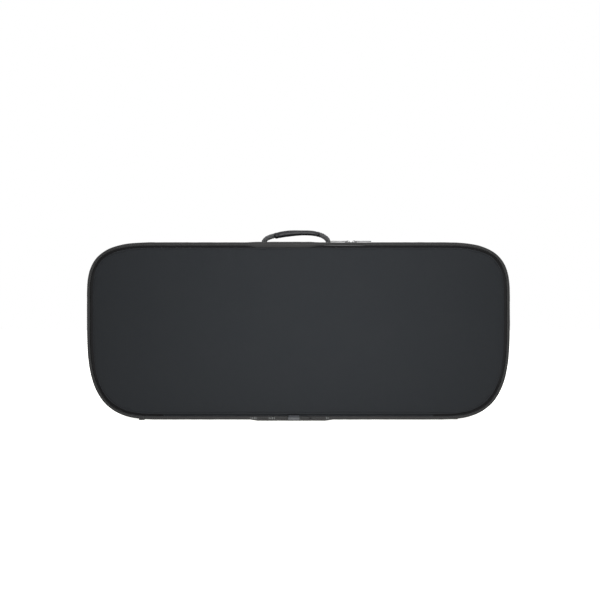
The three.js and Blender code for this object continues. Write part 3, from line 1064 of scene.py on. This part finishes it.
def pull(name, node, side):
    """A wire link under the bridge and a ribbed tab."""
    low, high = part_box(node)
    pivot = low.x if side > 0 else high.x
    pivot += side * 0.7 * MM
    reach_x = high.x - low.x - 1.2 * MM
    turns = np.linspace(0, TAU, 40, endpoint=False)
    wide, long, power = 2.9 * MM, 4.2 * MM, 3.2
    link = np.c_[
        pivot + side * long + long * squared(np.cos(turns), power),
        ZIP_Y + wide * squared(np.sin(turns), power),
    ]
    tangent = unit(np.roll(link, -1, axis=0) - np.roll(link, 1, axis=0))
    around = np.arange(8) * TAU / 8
    radius = 0.6 * MM
    out = np.c_[tangent[:, 1], -tangent[:, 0]]
    flat = link[:, None, :] + out[:, None, :] * (radius * np.cos(around))[None, :, None]
    z = np.broadcast_to(PULL_PIVOT_Z + radius * np.sin(around), flat.shape[:2])
    rings = np.concatenate([flat, z[:, :, None]], 2)
    parts = [loft(name, rings, np.arange(len(link)) * 0.4 * MM, True)]
    start, end = 6.6 * MM, reach_x
    half = np.array(PULL_HALF_WIDTHS) * MM
    along = pivot + side * (start + (end - start) * np.linspace(0, 1, len(half)))
    outline = np.concatenate([np.c_[along, ZIP_Y - half], np.c_[along, ZIP_Y + half][::-1]])
    parts.append(plate(name + "_tab", outline, PULL_PIVOT_Z - 0.75 * MM, PULL_PIVOT_Z + 0.5 * MM, 0.3 * MM))
    for k in range(PULL_RIBS):
        x = pivot + side * (start + 9 * MM + 2.1 * MM * k)
        rib = rounded(x - 0.5 * MM, x + 0.5 * MM, ZIP_Y - 2.0 * MM, ZIP_Y + 2.0 * MM, 0.45 * MM, 3)
        parts.append(plate(name + "_rib", rib, PULL_PIVOT_Z + 0.2 * MM, PULL_PIVOT_Z + 0.85 * MM, 0.2 * MM))
    return dress(joined(name, parts), CAST, node, [node])


slider("slider_left", "zip_slider_left", -1)
slider("slider_right", "zip_slider_right", 1)
pull("pull_left", "zip_puller_left", -1)
pull("pull_right", "zip_puller_right", 1)


# ---- Handle -----------------------------------------------------------------------------------

GRIP_LINE = np.array([
    [-43, 326.3], [-28, 329.4], [-12, 331.3], [8, 332.0], [24, 331.5], [38, 328.9],
]) * MM
GRIP_HALF = (10.4 * MM, 5.5 * MM)
LEFT_ROPE = np.array([
    [-61.4, 312.8], [-61.0, 317.2], [-57.0, 321.6], [-50.8, 324.6], [-44, 326.7], [-37, 328.1],
]) * MM
RIGHT_ROPE = np.array([
    [52.9, 312.8], [53.0, 316.6], [51.2, 320.6], [47.2, 324.2], [41.8, 327.3], [35, 329.6],
]) * MM


def grip():
    """A smooth sleeve, rounder above than below, with a lip at each end."""
    path, s = spline(GRIP_LINE, 90)
    angles = np.arange(40) * TAU / 40
    power = np.where(np.sin(angles) > 0, 2.3, 3.0)
    sideways = squared(np.cos(angles), power)
    outward = squared(np.sin(angles), power)
    from_end = np.minimum(s, s[-1] - s)
    slimmer = np.clip((path[:, 0] + 16 * MM) / (22 * MM), 0, 1)
    size = (0.90 + 0.10 * np.clip(from_end / (12 * MM), 0, 1) ** 0.6) * (1 - 0.18 * slimmer)
    size = size - 0.30 * np.clip(1 - from_end / (2.0 * MM), 0, 1) ** 2
    lip = np.exp(-((from_end - 3.2 * MM) / (1.2 * MM)) ** 2)
    groove = np.exp(-((from_end - 6.2 * MM) / (0.7 * MM)) ** 2)
    size = size + 0.045 * lip - 0.05 * groove
    section = np.stack([
        GRIP_HALF[0] * size[:, None] * sideways,
        GRIP_HALF[1] * size[:, None] * outward,
    ], 2)
    obj = tube("grip_sleeve", path, s, section, sharp=60)
    return dress(obj, GRIP, "handle", ["handle_grip"])


def rope(name, node, points, strands=3, pitch=7.5 * MM):
    """Thick braided webbing, its plaits modelled, that stays sewn to the case while the grip swings."""
    path, s = spline(points, 110)
    angles = np.arange(64) * TAU / 64
    a = math.pi * (s[:, None] / pitch + strands * angles[None] / TAU)
    b = math.pi * (s[:, None] / pitch - strands * angles[None] / TAU)
    plait = np.abs(np.sin(a)) ** 0.7 * np.abs(np.sin(b)) ** 0.7
    sideways = (3.2 * MM + 1.1 * MM * plait) * np.cos(angles)
    outward = (3.6 * MM + 1.15 * MM * plait) * np.sin(angles)
    obj = tube(name, path, s, np.stack([sideways, outward], 2), sharp=70)
    dress(obj, WEBBING, None, [node])
    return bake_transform(obj)


def anchor(name, node):
    """A woven patch on the top, with a boxed cross of stitches."""
    low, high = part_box(node)
    outline = rounded(low.x, high.x, low.y, high.y, 2.5 * MM)
    obj = plate(name, outline, TOP_Z - 0.8 * MM, high.z, 0.7 * MM, 3)
    dress(obj, FLAT_WEBBING, "base", [node])
    z = high.z
    inner = min((low.x, high.x), key=abs)
    away = math.copysign(1, inner)
    x0, x1 = sorted((inner + away * 2 * MM, inner + away * 17 * MM))
    y0, y1 = low.y + 2.5 * MM, high.y - 2.5 * MM
    rows = [(x0, y0, z), (x1, y0, z), (x1, y1, z), (x0, y1, z), (x0, y0, z), (x1, y1, z)]
    dress(seam(name + "_thread", rows, (0, 0, 1), 2.8 * MM), PALE_THREAD, "base")
    rows = [(x1, y0, z), (x0, y1, z)]
    dress(seam(name + "_cross_thread", rows, (0, 0, 1), 2.8 * MM), PALE_THREAD, "base")


grip()
rope("rope_left", "handle_strap_left", LEFT_ROPE)
rope("rope_right", "handle_strap_right", RIGHT_ROPE)
anchor("patch_left", "handle_anchor_left")
anchor("patch_right", "handle_anchor_right")


# ---- Underside --------------------------------------------------------------------------------

WEAR_TAPER = 15 * MM
BAR_TACKS_X = ((-83, -74), (-51, -42), (49, 52))


def wear_pad():
    """A ribbed rubber foot that thins towards its ends."""
    low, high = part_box("bottom_wear_strip")
    ribs = 20
    y = np.linspace(low.y + 1.2 * MM, high.y - 1.2 * MM, ribs * 8 + 1)
    z = 0.45 * MM * (1 - np.cos((y - y[0]) / (y[-1] - y[0]) * ribs * TAU)) / 2
    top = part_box("side_cover")[0].z - 0.1 * MM
    section = np.concatenate([
        np.c_[y, z],
        [[high.y - 0.4 * MM, 0.5 * MM], [high.y, 1.3 * MM], [high.y, top]],
        [[low.y, top], [low.y, 1.3 * MM], [low.y + 0.4 * MM, 0.5 * MM]],
    ])
    x = np.concatenate([
        np.linspace(low.x, low.x + WEAR_TAPER, 9),
        np.linspace(high.x - WEAR_TAPER, high.x, 9),
    ])
    thin = np.clip(np.minimum(x - low.x, high.x - x) / WEAR_TAPER, 0, 1) ** 0.8
    rings = along_x(section, x)
    rings[:, :, 2] = top - (top - rings[:, :, 2]) * (0.3 + 0.7 * thin[:, None])
    dress(loft("wear_pad", rings, x - x[0]), RUBBER, "base", ["bottom_wear_strip"])


def bar_tacks():
    """Close rows of pale thread over the hinge binding, and a flat dark patch where its ends meet: painted
    shade standing in for the slot between them.
    """
    parts = []
    y = BINDING_FRONT_Y + 0.15 * MM
    for k, (x0, x1) in enumerate(BAR_TACKS_X):
        count = round((x1 - x0) / 2.6) + 1
        x = np.linspace(x0, x1, count) * MM
        middles = np.c_[x, np.full(count, y), np.full(count, 5.4 * MM)]
        along = np.broadcast_to([0.0, 0.0, 1.0], middles.shape)
        up = np.broadcast_to([0.0, -1.0, 0.0], middles.shape)
        parts.append(stitches(f"bar_tack_{k}", middles, along, up, 3.9 * MM, 0.34 * MM))
    dress(joined("bar_tacks", parts), PALE_THREAD, "base")
    # A thin dark plate laid on the binding's face, not a cut: painted shade of the slot where the binding's
    # ends meet.
    slot = rounded(19 * MM, 22.4 * MM, -0.6 * MM, 2.6 * MM, 0.7 * MM)
    patch = plate("binding_slot_shade_patch", slot, 0, 0.5 * MM, 0.12 * MM)
    co = coordinates(patch)
    z = BOTTOM_Z + 1.6 * MM + co[:, 1]
    set_coordinates(patch, np.c_[co[:, 0], BINDING_FRONT_Y - 0.2 * MM + co[:, 2], z])
    face_out(patch)
    dress(patch, GUTTER_SHADE_CLOTH, "base")


def clip_half(name, points, nodes, x0, x1, material):
    """A thin plate that follows (y, z) points, between two x."""
    path, _ = spline(np.array(points) * MM, 24)
    tangent = unit(np.gradient(path, axis=0))
    out = np.c_[-tangent[:, 1], tangent[:, 0]] * 0.32 * MM
    ring = np.concatenate([path + out, (path - out)[::-1]])
    x = np.array([x0, x0 + 0.35 * MM, x1 - 0.35 * MM, x1])
    rings = along_x(ring, x)
    centre = ring.mean(0)
    for end in (0, -1):
        rings[end, :, 1:] = centre + (rings[end, :, 1:] - centre) * 0.9
    obj = loft(name, rings, x - x0)
    return dress(obj, material, "base", nodes)


CLIP_X0, CLIP_X1 = (corner.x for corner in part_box("binding_joint_clip"))
# The clip's side view in mm, (y, z): folded under the binding, then up its face.
CLIP_FOLD = ((-57.5, 2.3), (-60, 2.1), (-62.4, 2.3), (-63.2, 3.4), (-63.3, 5.2), (-63.2, 6.6))
CLIP_FACE = ((-62.95, 6.2), (-63.0, 7.4), (-62.9, 8.8), (-62.3, 9.9), (-61, 10.3))
CLIP_STEP = 0.6 * MM
wear_pad()
bar_tacks()
clip_half("clip_fold", CLIP_FOLD, ["binding_joint_clip"], CLIP_X0, CLIP_X1, CLIP)
# The upper face is the same plastic in a darker copy: painted shade on the clip's upper face.
clip_half("clip_face", CLIP_FACE, [], CLIP_X0 + CLIP_STEP, CLIP_X1 - CLIP_STEP, CLIP_PAINTED_SHADE)


# ---- Inside -----------------------------------------------------------------------------------


LINING_OUTER = 4.25 * MM
LINING_INNER = 11.6 * MM
LINING_FRONT_Y = -27.4 * MM
LINING_END_X = 266 * MM
RIM_OUTER = 3.4 * MM
RIM_Y = (-53.7 * MM, -43.9 * MM)
RIM_END_X = 266.7 * MM


def lining_pad():
    """The case wall's foam, wrapped in coated cloth, which reaches further forward along the bottom."""
    route, at_bottom = with_jump(LINING_END_X)
    low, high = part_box("side_liner")

    def section(front):
        return subdivided(rounded(LINING_OUTER, LINING_INNER, front, high.y, 2.6 * MM), 9 * MM)

    short = section(LINING_FRONT_Y)
    long = section(low.y - 0.6 * MM)
    count = max(len(short), len(long))

    def even(outline):
        ring = np.concatenate([outline, outline[:1]])
        s = length_so_far(ring)
        at = np.linspace(0, s[-1], count, endpoint=False)
        return np.stack([np.interp(at, s, ring[:, k]) for k in (0, 1)], 1)

    profile = np.where(at_bottom[:, None, None], even(long)[None], even(short)[None])
    obj = sweep("wall_lining", route, profile)
    soften(obj, 0.3 * MM, 40 * MM, 41)
    dress(obj, LINER, "base", ["side_liner", "side_padding", "bottom_padding"])


def rim_lining():
    """The same foam and cloth inside the lid's rim."""
    profile = subdivided(rounded(RIM_OUTER, LINING_INNER, *RIM_Y, 2.4 * MM), 4 * MM)
    obj = soften(sweep("rim_lining", over_top(x=RIM_END_X), profile), 0.25 * MM, 36 * MM, 42)
    dress(obj, LINER, "lid", ["lid_rim_padding", "lid_rim_liner"])


QUILT_PITCH = 62 * MM
QUILT_SLOPE = 1.6


def quilted(name, node, side, body, seed, depth):
    """A flat lining quilted in diamonds. side is the way its face looks."""
    low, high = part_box(node)
    edge = HALF_WIDTH - high.x
    obj = slab(name, edge, SLAB, 6 * MM)
    subdivide(obj)
    co = coordinates(obj)
    outer = np.clip(0.5 + side * co[:, 1] / (SLAB * 0.9), 0, 1)
    a = np.abs(np.sin(math.pi * (co[:, 0] + QUILT_SLOPE * co[:, 2]) / QUILT_PITCH))
    b = np.abs(np.sin(math.pi * (co[:, 0] - QUILT_SLOPE * co[:, 2]) / QUILT_PITCH))
    puff = np.minimum(a, b) ** 0.55
    inside = np.clip((inset_of(co) - 13 * MM) / (16 * MM), 0, 1)
    height = (high.y - low.y) + depth * (puff * inside - 0.55)
    back = low.y if side > 0 else high.y
    co[:, 1] = back + side * outer * height
    set_coordinates(obj, co)
    soften(obj, 0.1 * MM, 50 * MM, seed, lambda p: np.abs(p[:, 1] - back) > 0.3 * MM)
    dress(obj, LINER, body, [node])


DIVIDER_HALF = 3.0 * MM
EDGING_HALF = 4.0 * MM
EDGING_MARGIN = 7 * MM


def divider(name, node, seed):
    """A foam partition in coated cloth, its front edge bound in tape."""
    low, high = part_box(node)
    middle = (low.x + high.x) / 2
    size = np.array([DIVIDER_HALF, (high.y - low.y) / 2, (high.z - low.z) / 2])
    centre = np.array([middle, (low.y + high.y) / 2, (low.z + high.z) / 2])
    outline = rounded(low.y, high.y, low.z, high.z, 6 * MM)
    flat = plate(name, outline, middle - DIVIDER_HALF, middle + DIVIDER_HALF, 0)
    co = coordinates(flat)
    set_coordinates(flat, co[:, [2, 0, 1]])
    face_out(flat)
    obj = modify(flat, "REMESH", mode="VOXEL", voxel_size=4 * MM)

    def held(points):
        gap = np.abs(points - centre)[:, 1:]
        return ((size[1:] - gap) < 3.5 * MM).any(1)

    inflate(obj, held, pressure=4, cap=1.1 * MM, loose=0.008)
    settle(obj)
    dress(obj, DIVIDER, "base", [node])
    z0, z1 = low.z + EDGING_MARGIN, high.z - EDGING_MARGIN
    z = np.linspace(z0, z1, 70)
    section = subdivided(rounded(-EDGING_HALF, EDGING_HALF, -2.2 * MM, 5.5 * MM, 1.9 * MM), 2 * MM)
    rings = np.stack([np.c_[middle + section[:, 0], low.y + section[:, 1] + 0.6 * MM,
                            np.full(len(section), at)] for at in z])
    edging = soften(loft(name + "_edging", rings, z - z0), 0.12 * MM, 20 * MM, seed)
    dress(edging, GROSGRAIN, "base")
    for side in (-1, 1):
        x = middle + side * EDGING_HALF
        y = low.y + 4.6 * MM
        row_name = f"{name}_thread_{'left' if side < 0 else 'right'}"
        row = seam(row_name, [(x, y, z0), (x, y, z1)], (side, 0, 0))
        dress(row, THREAD, "base")


def hinge_cloth():
    """The cloth that the lid turns on, sewn in behind the panel's lower edge."""
    low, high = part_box("hinge_strip")
    x = np.linspace(low.x - 1.4 * MM, high.x + 1.4 * MM, 120)
    z = np.linspace(low.z + 1.0 * MM, high.z + 10.6 * MM, 24)
    tucked = np.clip((z - high.z - 2 * MM) / (2.5 * MM), 0, 1)
    y = (low.y + high.y) / 2 + tucked * (-BOARD_Y - 0.2 * MM - (low.y + high.y) / 2)
    half = 0.35 * MM - 0.22 * MM * tucked
    ring = np.concatenate([np.c_[y - half, z], np.c_[y + half, z][::-1]])
    obj = loft("hinge_cloth", along_x(ring, x), x - x[0])
    dress(obj, COVER, None, ["hinge_strip"])
    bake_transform(obj)


GUSSET_FOLDS = 12
GUSSET_INSET = 12.4 * MM
GUSSET_FOOT_X = 258 * MM
GUSSET_DEPTH_SHARE = 0.94


def gusset(name, node, side):
    """A pleated fan of cloth between lid and case, from beside the hinge up the wall. Its pleats deepen away
    from the hinge."""
    low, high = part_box(node)
    y = np.linspace(high.y - 0.6 * MM, low.y + 0.6 * MM, GUSSET_FOLDS * 7 + 1)
    phase = (y - y[0]) / (y[-1] - y[0]) * GUSSET_FOLDS
    fold = 0.5 - 0.5 * np.cos(math.pi * np.abs((phase + 1) % 2 - 1))
    climb = (OUTLINE[:, 0] < 0) & (OUTLINE_S < PERIMETER / 2)
    top = np.interp(high.z, OUTLINE[climb, 1], OUTLINE_S[climb])
    route = stretch(reach(GUSSET_FOOT_X), top, 4 * MM)
    height = route.place(GUSSET_INSET, 0)[:, 2] - HINGE[2]
    from_hinge = np.hypot(height, (low.y + high.y) / 2 - HINGE[1])
    depth = GUSSET_DEPTH_SHARE * from_hinge * math.pi / 2 / GUSSET_FOLDS
    centre = np.stack([route.place(GUSSET_INSET + f * depth, at) for f, at in zip(fold, y)])
    centre[:, :, 0] *= -side
    normal = unit(np.cross(np.gradient(centre, axis=0), np.gradient(centre, axis=1)))
    thick = 0.28 * MM
    rings = np.concatenate([centre + normal * thick, (centre - normal * thick)[::-1]], 0)
    along = np.linalg.norm(np.diff(centre[0], axis=0), axis=1)
    obj = loft(name, rings.transpose(1, 0, 2), np.concatenate([[0], np.cumsum(along)]))
    dress(obj, GUSSET, None, [node])
    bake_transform(obj)


NET_STEP = 5.2 * MM
NET_CORD = 0.85 * MM
NET_SAG = 1.6 * MM


def pocket():
    """A knitted net pocket on the lid, gathered into an elastic hem."""
    low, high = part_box("lid_pocket_mesh")
    columns = round((high.x - low.x) / NET_STEP)
    rows = round((high.z - low.z) / NET_STEP)
    vertices, faces = [], []
    for i in range(rows + 1):
        for j in range(columns + 1):
            x = low.x + (high.x - low.x) * j / columns
            z = low.z + (high.z - low.z) * i / rows
            vertices.append((x, 0.0, z))
    across = columns + 1
    for i in range(rows):
        for j in range(columns):
            a = i * across + j
            b, c, d = a + 1, a + across + 1, a + across
            middle = len(vertices)
            x = (vertices[a][0] + vertices[b][0]) / 2
            z = (vertices[a][2] + vertices[d][2]) / 2
            vertices.append((x, 0.0, z))
            faces += [(a, b, middle), (b, c, middle), (c, d, middle), (d, a, middle)]
    obj = piece("pocket_net", vertices, faces)
    work = bmesh.new()
    work.from_mesh(obj.data)

    def is_straight(edge):
        run = edge.verts[0].co - edge.verts[1].co
        return len(edge.link_faces) == 2 and min(abs(run.x), abs(run.z)) < 1e-5

    straight = [edge for edge in work.edges if is_straight(edge)]
    bmesh.ops.dissolve_edges(work, edges=straight, use_verts=False)
    work.to_mesh(obj.data)
    work.free()
    modify(obj, "WIREFRAME", thickness=NET_CORD, use_even_offset=False, use_boundary=True)
    co = coordinates(obj)
    sag = np.sin(math.pi * np.clip((co[:, 2] - low.z) / (high.z - low.z), 0, 1))
    swell = NET_SAG * sag * (0.6 + 0.4 * np.sin(co[:, 0] / (61 * MM)))
    co[:, 1] = co[:, 1] * 0.7 + high.y + 0.15 * MM + swell
    set_coordinates(obj, co)
    obj.data.shade_smooth()
    dress(obj, ELASTIC, "lid", ["lid_pocket_mesh"])
    low_hem, high_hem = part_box("lid_pocket_hem")
    x = np.linspace(low_hem.x, high_hem.x, 420)
    section = rounded(low_hem.y, high_hem.y, low_hem.z, high_hem.z, 0.8 * MM, 3)
    rings = along_x(section, x)
    ruffle = 0.35 * MM * np.sin(x / (2.6 * MM)) + 0.3 * MM * np.sin(x / (4.1 * MM) + 1)
    rings[:, :, 1] += ruffle[:, None] * (section[:, 0] > low_hem.y + 0.5 * MM)
    hem = dress(loft("pocket_hem", rings, x - x[0]), ELASTIC, "lid", ["lid_pocket_hem"])


lining_pad()
rim_lining()
quilted("rear_lining", "rear_liner", -1, "base", 51, 2.2 * MM)
quilted("lid_lining", "lid_liner", 1, "lid", 52, 1.3 * MM)
for divider_name in ("left", "centre", "right"):
    divider(f"partition_{divider_name}", f"divider_{divider_name}", 60)
hinge_cloth()
gusset("fan_left", "side_gusset_left", -1)
gusset("fan_right", "side_gusset_right", 1)
pocket()

for board_node in ("front_panel_board", "rear_panel_board", "side_board", "bottom_board"):
    stiffener = frame["nodes"][board_node]
    stiffener.data.materials.clear()
    stiffener.data.materials.append(BOARD)


# ---- Stage ------------------------------------------------------------------------------------

FLOOR_HALF = 8.0
CAMERA_PLACE = (0.0028, -2.76, 0.212)
CAMERA_LENS = 92.57


def floor():
    mesh = bpy.data.meshes.new("floor")
    corners = [(x * FLOOR_HALF, y * FLOOR_HALF, 0) for x, y in ((-1, -1), (1, -1), (1, 1), (-1, 1))]
    mesh.from_pydata(corners, [], [(0, 1, 2, 3)])
    obj = placed("floor", mesh)
    s = Shader("floor_paper", (0.62, 0.62, 0.60), 0.9, Specular_IOR_Level=0.0)
    s.surface.inputs["Emission Color"].default_value = (1, 1, 0.965, 1)
    s.surface.inputs["Emission Strength"].default_value = 1.05
    obj.data.materials.append(s.material)


def area_light(name, place, target, size, energy, spread=180):
    light = bpy.data.lights.new(name, "AREA")
    light.energy = energy
    light.spread = math.radians(spread)
    light.shape = "RECTANGLE"
    light.size, light.size_y = size
    obj = placed(name, light)
    obj.location = place
    obj.visible_camera = False
    direction = Vector(np.array(target, float) - np.array(place, float))
    obj.rotation_euler = direction.to_track_quat("-Z", "Y").to_euler()


def studio():
    world = bpy.data.worlds.new("studio")
    bpy.context.scene.world = world
    world.use_nodes = True
    sky = world.node_tree.nodes["Background"]
    sky.inputs["Color"].default_value = (1, 1, 1, 1)
    sky.inputs["Strength"].default_value = 1.0
    area_light("top_light", (0.22, -0.42, 1.6), (0, 0, 0.2), (1.2, 0.6), 14)
    area_light("front_light", (0.05, -0.85, 0.37), (0.04, 0, 0.13), (0.35, 0.3), 2.8, 90)
    bpy.context.scene.view_settings.view_transform = "Standard"


def camera():
    data = bpy.data.cameras.new("camera")
    data.lens = CAMERA_LENS
    data.sensor_width = 36
    obj = placed("camera", data)
    obj.location = CAMERA_PLACE
    obj.rotation_euler = (math.radians(90), 0, 0)
    bpy.context.scene.camera = obj


floor()
studio()
camera()
